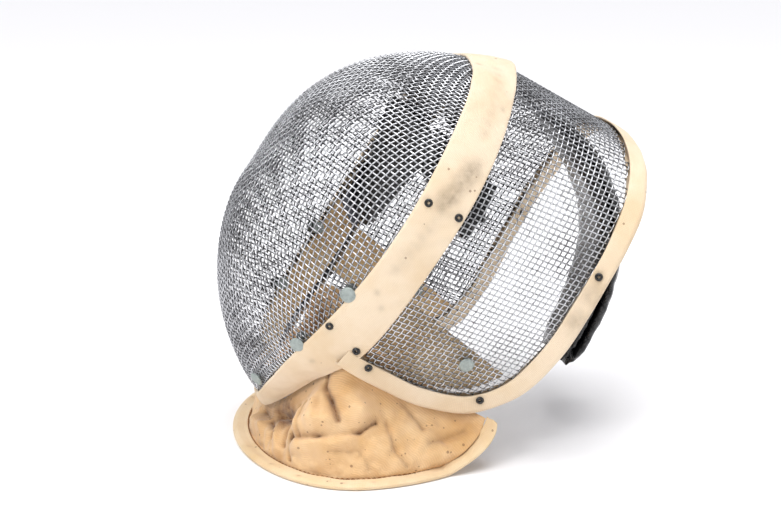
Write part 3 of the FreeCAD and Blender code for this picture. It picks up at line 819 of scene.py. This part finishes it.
def make_rim():
    """The closed U section carried round the rim from jaw to jaw, and straight on over the band."""
    (out_reach, out_high), (in_reach, in_high) = binding_section(0.0), binding_section(BINDING_PLY)
    reach = np.concatenate([out_reach, in_reach[::-1]])
    high = np.concatenate([out_high, in_high[::-1]])
    along = np.linspace(-RIM_OVERRUN, RIM_OVERRUN, 440)
    edge, away, normal = (v[None] for v in rim_frame(np.clip(along, -RIM_END, RIM_END)))
    past = np.clip((np.abs(along) - RIM_END) / (RIM_OVERRUN - RIM_END), 0, 1)[:, None] * RIM_LAP
    one = np.ones_like(along)
    onward = travel(REAR_RIM, 0.99 * one) * np.stack([np.sign(along), one, one], -1)
    edge = edge + onward * past - normal * past * 0.12
    plain = edge + away * reach[:, None, None] + normal * high[:, None, None]
    rivets = [middle_of(n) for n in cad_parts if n.startswith("rim_rivet")]
    sink = 0.6 * MM * spots(plain, rivets, 4 * MM) + 0.2 * MM * waves(plain, 16 * MM, 8)
    upper = np.clip((high + BINDING_HALF) / BINDING_HALF, 0, 1)[:, None]
    wander = 0.35 * MM * waves(plain, 40 * MM, 9)
    points = plain - normal * (sink * upper)[..., None] + away * wander[..., None]
    rim = grid_piece("rim_binding_canvas", points, ring=True, caps=True, uv=cloth_uv(points))
    marks = [edge[0, k] + away[0, k] * 7 * MM for k in np.searchsorted(along, (0.50, 0.56))]
    attribute(rim, "soil_and_painted_shade", 0.4 * spots(points, marks, 8 * MM) + 0.35 * spots(points, rivets, 3.6 * MM))
    rim.data.materials.append(band_canvas)
    return rim


rim_binding = make_rim()
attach(rim_binding, "mask")
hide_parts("rim_binding")

# %% [markdown]
# ## The throat bib
# The bib is a slack panel of cotton twill, sewn to the jaw line above and to a folded tape below. The
# mask's weight pushes it down, so it lies in rolls and creases on the floor. Its plain shape runs from
# the jaw line to the tape with a soft bulge. Each roll or crease is a ridge or a furrow along a short
# line on that shape. The folds are a large part of this bib's looks, so they are listed one by one. The
# panel's lower edge ends just inside the tape's inner edge.

# %% Outline and plain shape of the bib
BIB_HALF_WIDTH, BIB_FRONT, BIB_REAR = 103 * MM, 75 * MM, 110 * MM
BIB_WIDEST = -48.2 * MM
BIB_SWEEP = math.radians(117)
BIB_FOOT = 1.02
TAPE_WIDTH = 10.5 * MM
BIB_TOP = [(0, -102.7, 17), (31, -94.7, 27), (54, -76.7, 46), (71, -60.7, 59), (73, -44.7, 53),
           (71, -27.7, 43), (70, -5.7, 32.5), (71, 14.3, 28.5), (74, 28.3, 29)]


def bib_outline(along, inset):
    """The bound edge on the floor: half an ellipse in front of the widest line, and the start of a
    longer one behind it, for along -1..1 over the chin."""
    angle = np.abs(along) * BIB_SWEEP - math.pi / 2
    length = np.where(angle < 0, BIB_FRONT, BIB_REAR) - inset
    x = (BIB_HALF_WIDTH - inset) * np.cos(angle) * np.where(along < 0, -1, 1)
    return np.stack([x, BIB_WIDEST + length * np.sin(angle), 0 * angle], -1)


def bib_plain(across, along):
    """The unfolded panel and its outward normal: straight from the jaw line to the tape, less a
    parabola's bulge, which is slight at the chin."""
    top = line_through(np.array(BIB_TOP) * MM, np.abs(along))
    top = top * np.where(along < 0, -1, 1)[..., None] ** np.array([1, 0, 0])
    low = bib_outline(along, TAPE_WIDTH + 0.4 * MM) + np.array([0, 0, 2.4]) * MM
    out = unit((bib_outline(along, 0.0) - np.array([0, BIB_WIDEST, 0])) * np.array([1, 1, 0]))
    across = np.asarray(across)[..., None]
    swell = np.clip((np.abs(along) - 0.08) / 0.3, 0.1, 1)[..., None]
    bulge = 7 * MM * swell * 4 * np.clip(across, 0, 1) * (1 - np.clip(across, 0, 1))
    return top + (low - top) * across + out * bulge, unit(out + np.array([0, 0, 0.9]))


# Creases and rolls of the panel: a route of (along, across) points, half width and height in mm. Plus
# is a roll that stands out, minus a furrow. Minus along is the wearer's right.
BIB_FOLDS = [
    ([(0.03, 0.55), (0.11, 0.48)], 5.0, 5.0),
    ([(0.03, 0.10), (0.10, 0.20)], 4.0, -4.0),
    ([(0.17, 0.02), (0.22, 0.10), (0.26, 0.22)], 5.5, -11.0),
    ([(0.14, 0.30), (0.20, 0.42), (0.21, 0.62)], 2.0, -4.5),
    ([(0.25, 0.30), (0.27, 0.55), (0.30, 0.80)], 4.0, 5.0),
    ([(0.31, 0.10), (0.315, 0.45), (0.33, 0.70)], 1.5, -3.5),
    ([(0.355, 0.50), (0.385, 0.88)], 1.5, -4.5),
    ([(0.345, 0.20), (0.37, 0.42)], 5.0, 4.0),
    ([(0.355, 0.56), (0.485, 0.54), (0.62, 0.40), (0.655, 0.26)], 1.5, -5.0),
    ([(0.38, 0.40), (0.50, 0.38), (0.60, 0.24)], 5.5, 4.5),
    ([(0.40, 0.70), (0.50, 0.64), (0.60, 0.52)], 5.0, 3.0),
    ([(0.395, 0.81), (0.57, 0.66), (0.65, 0.60), (0.735, 0.82)], 1.5, -1.6),
    ([(0.42, -0.15), (0.43, 0.02), (0.485, 0.18), (0.535, 0.35)], 1.8, -6.0),
    ([(0.385, 0.02), (0.43, 0.35)], 5.5, 5.0),
    ([(0.345, 0.08), (0.37, 0.30), (0.40, 0.53)], 1.1, -2.2),
    ([(0.55, 0.10), (0.60, 0.18)], 8.0, 4.0),
    ([(0.69, 0.22), (0.77, 0.50), (0.85, 0.78)], 1.7, -2.4),
    ([(0.70, -0.05), (0.76, 0.05), (0.815, 0.18)], 1.8, -2.4),
    ([(0.86, 0.36), (0.95, 0.18)], 3.0, -2.6),
    ([(-0.22, 0.05), (-0.26, 0.40), (-0.24, 0.75)], 4.5, -6.0),
    ([(-0.33, 0.10), (-0.36, 0.60)], 6.0, 5.5),
    ([(-0.40, 0.62), (-0.55, 0.50), (-0.70, 0.42)], 2.4, -4.5),
    ([(-0.46, 0.30), (-0.62, 0.24)], 6.5, 5.0),
    ([(-0.52, -0.05), (-0.56, 0.30)], 2.6, -5.0),
    ([(-0.74, 0.10), (-0.84, 0.60)], 3.0, -3.2),
    ([(-0.88, 0.50), (-0.95, 0.20)], 3.0, -2.6),
]


def near_route(points, route):
    """Distance of each point from a route of straight runs."""
    gaps = []
    for start, end in zip(route, route[1:]):
        way = end - start
        share = np.clip(dot(points - start, way) / dot(way, way), 0, 1)
        gaps.append(np.linalg.norm(points - start - way * share, axis=-1))
    return np.min(gaps, axis=0)


# %% Bib panel
def make_bib():
    """The plain panel, moved out along its normal by every fold and by two sizes of small waves. A roll
    is a Gauss bell across its route and a furrow a sharper bell. Both fade out towards the jaw line,
    above which the cloth runs on behind the band."""
    share, along = np.meshgrid(np.linspace(0, 1, 110), np.linspace(-1.0, 1.0, 390), indexing="ij")
    top = -0.02 - 0.34 * np.clip((1 - np.abs(along)) / 0.15, 0, 1)
    across = top + (BIB_FOOT - top) * share
    plain, normal = bib_plain(across, along)
    lift = 1.1 * MM * waves(plain, 24 * MM, 21) + 0.45 * MM * waves(plain, 9 * MM, 22)
    furrows = np.zeros_like(lift)
    for route, half_width, height in BIB_FOLDS:
        a, c = np.array(route).T
        gap = near_route(plain, bib_plain(c, a)[0]) / (half_width * MM)
        bell = height * MM * np.exp(-gap ** (2.0 if height > 0 else 1.25))
        lift = lift + bell
        furrows = furrows + np.maximum(-bell, 0)
    held = np.clip((across + 0.06) / 0.22, 0, 1) * np.clip((BIB_FOOT - across) / 0.10, 0, 1)
    points = plain + normal * np.where(lift > 0, lift * held, lift * np.minimum(held + 0.3, 1))[..., None]
    points[..., 2] = np.maximum(points[..., 2], 1.4 * MM)
    uv = np.stack([lengths_along(points.swapaxes(0, 1)).T, along * 0.28], -1)
    bib = grid_piece("bib_canvas_panel", points, uv=uv, outward=normal)
    # painted shade: the bib gets darker in its furrows, by their depth, and towards its top edge under the
    # band
    attribute(bib, "soil_and_painted_shade", np.clip(furrows / (6 * MM), 0, 0.8) + 0.15 * np.clip(0.3 - across, 0, 1))
    bib.data.materials.append(bib_canvas_cloth)
    wall = bib.modifiers.new("cloth_thickness", "SOLIDIFY")
    wall.thickness, wall.offset = 1.2 * MM, -1.0
    return bib


bib = make_bib()
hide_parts("bib_panel")
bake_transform(bib)

# %% [markdown]
# ## The bound edge of the bib
# The edge is a folded tape that lies flat on the floor, a little fuller along its middle, with a brown
# running stitch beside the panel. At the bib's rear ends it climbs to the rim as two tails. One closed
# section is carried along the whole route: a flattened oval with a low ridge near the stitches.

# %% Tape and tails
TAIL_SHARE = 0.16


def tape_edges(along):
    """Inner and outer edge of the tape, and its upward normal. Up to 1 it follows the outline on the
    floor; past 1 a quadratic Bezier curve carries it up to the rim."""
    side = np.where(along < 0, -1.0, 1.0)
    turn = np.clip(np.abs(along), 0, 1) * side
    climb = np.clip((np.abs(along) - 1) / TAIL_SHARE, 0, 1)[..., None]
    edges = []
    for inset, middle, end in ((TAPE_WIDTH, (78, 26, 16), (76, 29, 29)), (0.0, (90, 32, 14), (86, 33, 29))):
        start = bib_outline(turn, inset)
        mirror = np.stack([side, 1 + 0 * side, 1 + 0 * side], -1)
        middle, end = mirror * np.array(middle) * MM, mirror * np.array(end) * MM
        edges.append((1 - climb) ** 2 * start + 2 * climb * (1 - climb) * middle + climb ** 2 * end)
    tilt = np.stack([0.35 * side, -0.35 + 0 * side, 1 + 0 * side], -1)
    up = unit(np.array([0, 0, 1.0]) * (1 - climb) + tilt * climb)
    return edges[0], edges[1], up


def make_tape():
    """The flattened oval section, its upper side ridged by a cosine, along floor and tails."""
    turn = np.linspace(0, 2 * math.pi, 30, endpoint=False)
    share = 0.5 + 0.5 * np.sign(np.cos(turn)) * np.abs(np.cos(turn)) ** 0.55
    high = 1.85 * MM * (1 + np.sign(np.sin(turn)) * np.abs(np.sin(turn)) ** 0.6)
    tail = np.linspace(1, 1 + TAIL_SHARE, 24)
    along = np.concatenate([-tail[::-1], np.linspace(-1, 1, 360)[1:-1], tail])
    inner, outer, up = (v[None] for v in tape_edges(along))
    upper = np.clip(np.sin(turn), 0, 1)[:, None]
    plain = inner + (outer - inner) * share[:, None, None]
    sag = 0.5 * MM * np.cos(share * 3 * math.pi)[:, None] + 0.28 * MM * waves(plain, 18 * MM, 31)
    points = plain + up * (0.1 * MM + high[:, None] + (sag - 0.3 * MM) * upper)[..., None]
    tape = grid_piece("bib_tape", points, ring=True, caps=True, uv=cloth_uv(points))
    places = bib_outline(np.array([0.16, 0.33, 0.47, 0.60, 0.66, 0.78, -0.3, -0.55]), 4.5 * MM)
    attribute(tape, "soil_and_painted_shade", 0.85 * spots(points, places + [0, 0, 0.003], 1.5 * MM))
    tape.data.materials.append(tape_canvas)
    return tape


tape = make_tape()
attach(tape, "bib")
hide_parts("bib_binding", "bib_tail_left", "bib_tail_right")

# %% Running stitch
def thread_finish():
    """Waxed linen thread gone brown: rough, with a slight waxy sheen."""
    return new_material("brown_linen_thread", Base_Color=srgb("#8B5A2B"), Roughness=0.7,
                        Specular_IOR_Level=0.4)[0]


def make_stitches(length=3.2 * MM):
    """Short threads end to end along the tape's inner edge, each rising between its two holes."""
    along = np.linspace(-0.995, 0.995, 900)
    inner, outer, up = tape_edges(along)
    line = inner + (outer - inner) * 0.04 + up * 3.3 * MM
    s = lengths_along(line)
    starts = np.arange(0, s[-1] - length, length)
    stitches = []
    for start in starts:
        where = start + length * np.array([0.04, 0.5, 0.96])
        nodes = np.stack([np.interp(where, s, line[:, k]) for k in range(3)], -1)
        stitches.append((nodes, np.tile([0, 0, 1.0], (3, 1)), np.array([-0.5, 0.35, -0.5]) * MM))
    return wire_tubes("bib_stitches", stitches, 0.42 * MM, thread_finish(), sides=5)


stitches = make_stitches()
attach(stitches, "bib")

# %% [markdown]
# ## Cloth lining of the chin and jaw
# A strip of coarse cotton covers the inside of the band under the chin and the low corner of the rear
# mesh, so that no wire end meets the skin. It shows brown through the wires. It is one flat section
# again, carried inside the band and inside the rear panel.

# %% Linings
LINING_PLY = 1.6 * MM


def band_lining(side):
    """A strip inside the band from the jaw to the chin, with small waves."""
    share, depth = folded_section(20 * MM, LINING_PLY, across=16)
    s, a = np.meshgrid(0.03 + 0.70 * share, side * np.linspace(0.475, 0.985, 120), indexing="ij")
    front, rear, normal = band_frame(a)
    points = front + (rear - front) * s[..., None] - normal * (7.2 * MM + depth[:, None, None])
    return points + normal * (0.35 * MM * waves(points, 14 * MM, 41))[..., None]


def jaw_lining(side):
    """A patch inside the rear mesh's low corner, wrinkled a little."""
    share, depth = folded_section(80 * MM, LINING_PLY, across=40)
    s, a = np.meshgrid(0.04 + 0.92 * share, side * np.linspace(0.765, 0.945, 90), indexing="ij")
    points = rear_point(s, a, 4.2 * MM + depth[:, None] + 0 * s)
    return points + np.array([-side * 0.5 * MM, 0, 0]) * waves(points, 17 * MM, 42)[..., None]


for side, name in ((1, "left"), (-1, "right")):
    for kind, points in (("chin", band_lining(side)), ("jaw", jaw_lining(side))):
        lining = grid_piece(f"{kind}_lining_cloth_{name}", points, ring=True, caps=True,
                            uv=cloth_uv(points))
        lining.data.materials.append(lining_canvas_cloth)
        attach(lining, "mask")
        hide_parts(f"{kind}_lining_{name}")

# %% [markdown]
# ## Black leathercloth padding
# Leathercloth is cotton with a skin of glossy black vinyl. Stuffed with hair or felt it wrinkles
# crosswise where it bends. The forehead and temple pads sit behind the band, and the tongue is two
# stuffed halves sewn round a flat spring. Each pad starts as a plain stuffed form and is then blown up a
# little as cloth, which pulls its sides in and gives the uneven swell of stuffing.

# %% Finish: leathercloth
def leathercloth():
    """Glossy black vinyl: near-black, smooth, with a fine pebble grain and broad soft wrinkles."""
    vinyl, shader = new_material("black_leathercloth", Base_Color=srgb("#070708"), Specular_IOR_Level=0.5,
                                 Coat_Weight=0.25, Coat_Roughness=0.18)
    place = node(vinyl, "ShaderNodeTexCoord").outputs["Object"]
    grain = node(vinyl, "ShaderNodeTexVoronoi", {"Vector": place, "Scale": 1 / (1.1 * MM)})
    along_folds = node(vinyl, "ShaderNodeMapping", {"Vector": place, "Scale": (0.25, 1.0, 1.0)})
    crush = noise(vinyl, along_folds.outputs["Vector"], 7 * MM, Detail=3.0, Distortion=0.8)
    height = math_node(vinyl, "MULTIPLY_ADD", crush, 6.0, grain.outputs["Distance"])
    wire_up(vinyl, shader, Normal=bump(vinyl, height, 0.6, 0.4 * MM),
            Roughness=remap(vinyl, crush, 0.0, 1.0, 0.2, 0.36))
    return vinyl


black_vinyl = leathercloth()


# %% Stuffed forms
def stuffed_form(name, place, near, far, seam=0.5, count=(30, 46)):
    """A closed pad between two depths. Over its face the swell is a product of two high-power domes,
    each on a low wall, and the seam lies at a share of the thickness. Place gives a point for
    (a, b, depth)."""
    a = np.linspace(0, 1, count[0])
    a = np.concatenate([a, a[::-1][1:-1]])
    outer = np.concatenate([np.ones(count[0]), -np.ones(count[0] - 2)])
    a, b = np.meshgrid(a, np.linspace(0, 1, count[1]), indexing="ij")
    swell = ((0.35 + 0.65 * (1 - np.abs(2 * a - 1) ** 4) ** 0.5)
             * (0.35 + 0.65 * (1 - np.abs(2 * b - 1) ** 6) ** 0.5))
    base = near + (far - near) * seam
    depth = np.where(outer[:, None] > 0, base - (base - near) * swell, base + (far - base) * swell)
    points = place(a, b, depth)
    crush = 0.45 * MM * waves(points * np.array([0.3, 1, 1]), 11 * MM, 51)
    points = place(a, b, depth + crush * swell * np.where(outer[:, None] > 0, 0.4, 1.0))
    pad = grid_piece(name, points, ring=True, caps=True)
    pad.data.materials.append(black_vinyl)
    return pad


def blow_up(pad, cap, voxel=4.5 * MM, pressure=3.5, frames=18):
    """Remeshes the pad and inflates it as cloth without gravity, moves no point further than the cap,
    keeps the result in the mesh, and smooths it with one subdivision."""
    grid = pad.modifiers.new("even_grid", "REMESH")
    grid.mode, grid.voxel_size = "VOXEL", voxel
    keep_shape(pad)
    rest = read_points(pad.data)
    cloth = pad.modifiers.new("cloth", "CLOTH")
    cloth.settings.use_pressure = True
    cloth.settings.uniform_pressure_force = pressure
    cloth.settings.effector_weights.gravity = 0
    for frame_number in range(1, frames + 1):
        bpy.context.scene.frame_set(frame_number)
    keep_shape(pad)
    moved = read_points(pad.data) - rest
    reach = np.linalg.norm(moved, axis=-1, keepdims=True)
    kept = rest + moved * np.minimum(1, cap / np.maximum(reach, 1e-9))
    pad.data.vertices.foreach_set("co", kept.ravel())
    bpy.context.scene.frame_set(1)
    smooth = pad.modifiers.new("smooth", "SUBSURF")
    smooth.levels = smooth.render_levels = 1
    pad.data.polygons.foreach_set("use_smooth", np.ones(len(pad.data.polygons), bool))
    print(pad.name, "swelled by at most", round(float(np.minimum(reach, cap).max()) / MM, 1), "mm")


def keep_shape(piece):
    """Makes what the modifiers give the piece's own mesh, and removes them."""
    seen = piece.evaluated_get(bpy.context.evaluated_depsgraph_get())
    mesh = bpy.data.meshes.new_from_object(seen)
    piece.modifiers.clear()
    piece.data = mesh


# %% Forehead and temple pads
PAD_NEAR, PAD_FAR = 9.2 * MM, 17.6 * MM


def pad_place(front_share, rear_share, start, stop):
    """A pad's own (a, b, depth) behind the band: a runs across it, b along it."""
    def place(a, b, depth):
        along = start + (stop - start) * b
        lean = np.maximum(0, np.abs(along) - 0.30)
        first = front_share + (4.6 * lean if start * stop > 0 else 0)
        last = rear_share - (2.0 * np.maximum(0, np.abs(along) - 0.27) if start * stop > 0 else 0)
        front, rear, normal = band_frame(along)
        share = (first + (last - first) * a)[..., None]
        return front + (rear - front) * share - normal * depth[..., None]
    return place


PADS = {"forehead_pad": (-0.25, 0.55, -0.205, 0.205), "temple_pad_left": (-0.35, 1.45, 0.215, 0.32),
        "temple_pad_right": (-0.35, 1.45, -0.215, -0.455)}
for name, span in PADS.items():
    pad = stuffed_form(name + "_stuffed", pad_place(*span), PAD_NEAR, PAD_FAR)
    blow_up(pad, 1.5 * MM)
    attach(pad, "mask")
    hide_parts(name)

# %% Tongue
TONGUE_ROOT = CENTRE + FORWARD * -48 * MM + UP * 118 * MM
TONGUE_LINE = [(0, 0, 0), (0, 20, -17), (0, 38, -42), (0, 48, -70), (0, 49, -96), (0, 42, -124),
               (0, 31, -148), (0, 18, -170)]
TONGUE_HALF_WIDTH = 30 * MM


def tongue_place(sign):
    """One half's (a, b, depth): b runs down the spring's line, a across it. The root is narrower and
    the tip is round."""
    def place(a, b, depth):
        share = 0.035 + 0.955 * b
        line = np.array(TONGUE_LINE) * MM
        point = TONGUE_ROOT + line_through(line, share)
        way = unit(line_through(line, share + 0.004) - line_through(line, share - 0.004))
        back = facing(unit(np.cross(ACROSS, way)), np.array([0, 1.0, 0]))
        root = np.minimum(1, 0.62 + 1.6 * share)
        tip = np.sqrt(np.maximum(0, 1 - np.maximum(0, (share - 0.90) / 0.115) ** 2))
        wide = TONGUE_HALF_WIDTH * root * (0.45 + 0.55 * tip)
        deep = depth * root * (0.6 + 0.4 * tip)
        return point + ACROSS * (wide * (2 * a - 1))[..., None] + back * (sign * deep)[..., None]
    return place


for sign, name in ((1, "back"), (-1, "front")):
    half = stuffed_form(f"tongue_{name}_stuffed", tongue_place(sign), 1.2 * MM, 8.0 * MM, seam=0.0,
                        count=(30, 90))
    blow_up(half, 1.2 * MM, voxel=3.5 * MM)
    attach(half, "tongue")
    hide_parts(f"tongue_pad_{name}")

# %% [markdown]
# ## Steel parts and rivets
# The strip, rim rod, spring, anchor, rivets and discs already have their true shapes, so they only need
# their metal. The strip and springs are blued steel, the tubular rivets are steel under worn black
# enamel, and the broad discs are cast zinc that has gone dull and chalky.

# %% Metal finishes
def spotted_metal(name, dark, light, grain, rough_low, rough_high, metallic=1.0):
    """Metal whose tone and roughness both follow one noise of the given grain."""
    metal, shader = new_material(name, Metallic=metallic)
    place = node(metal, "ShaderNodeTexCoord").outputs["Object"]
    mottle = noise(metal, place, grain, Detail=5.0, Roughness=0.65)
    tone = mix_colours(metal, remap(metal, mottle, 0.35, 0.65), srgb(dark), srgb(light))
    wire_up(metal, shader, Base_Color=tone, Roughness=remap(metal, mottle, 0.3, 0.7, rough_low, rough_high),
            Normal=bump(metal, mottle, 0.25, 0.2 * MM))
    return metal


METALS = {
    "blued": spotted_metal("blued_spring_steel", "#4A4C52", "#77797F", 9 * MM, 0.3, 0.5),
    "enamel": spotted_metal("worn_black_enamel", "#0B0B0C", "#2B2A2A", 0.9 * MM, 0.28, 0.5, metallic=0.0),
    "zinc": spotted_metal("dull_cast_zinc", "#8F9894", "#AEB6B2", 2.2 * MM, 0.5, 0.7, metallic=0.55),
}
BLUED_NODES = ("seam_strip", "rim_rod", "tongue_spring", "tongue_anchor")


def metal_of(name):
    """The finish of a steel or zinc piece, by its name."""
    if "disc" in name:
        return METALS["zinc"]
    return METALS["enamel"] if "rivet" in name else METALS["blued"]


for name, cad_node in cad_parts.items():
    if "disc" in name or "rivet" in name or name in BLUED_NODES:
        cad_node.data.materials.clear()
        cad_node.data.materials.append(metal_of(name))
print("metals on", sum("rivet" in n or "disc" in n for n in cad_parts), "fasteners")
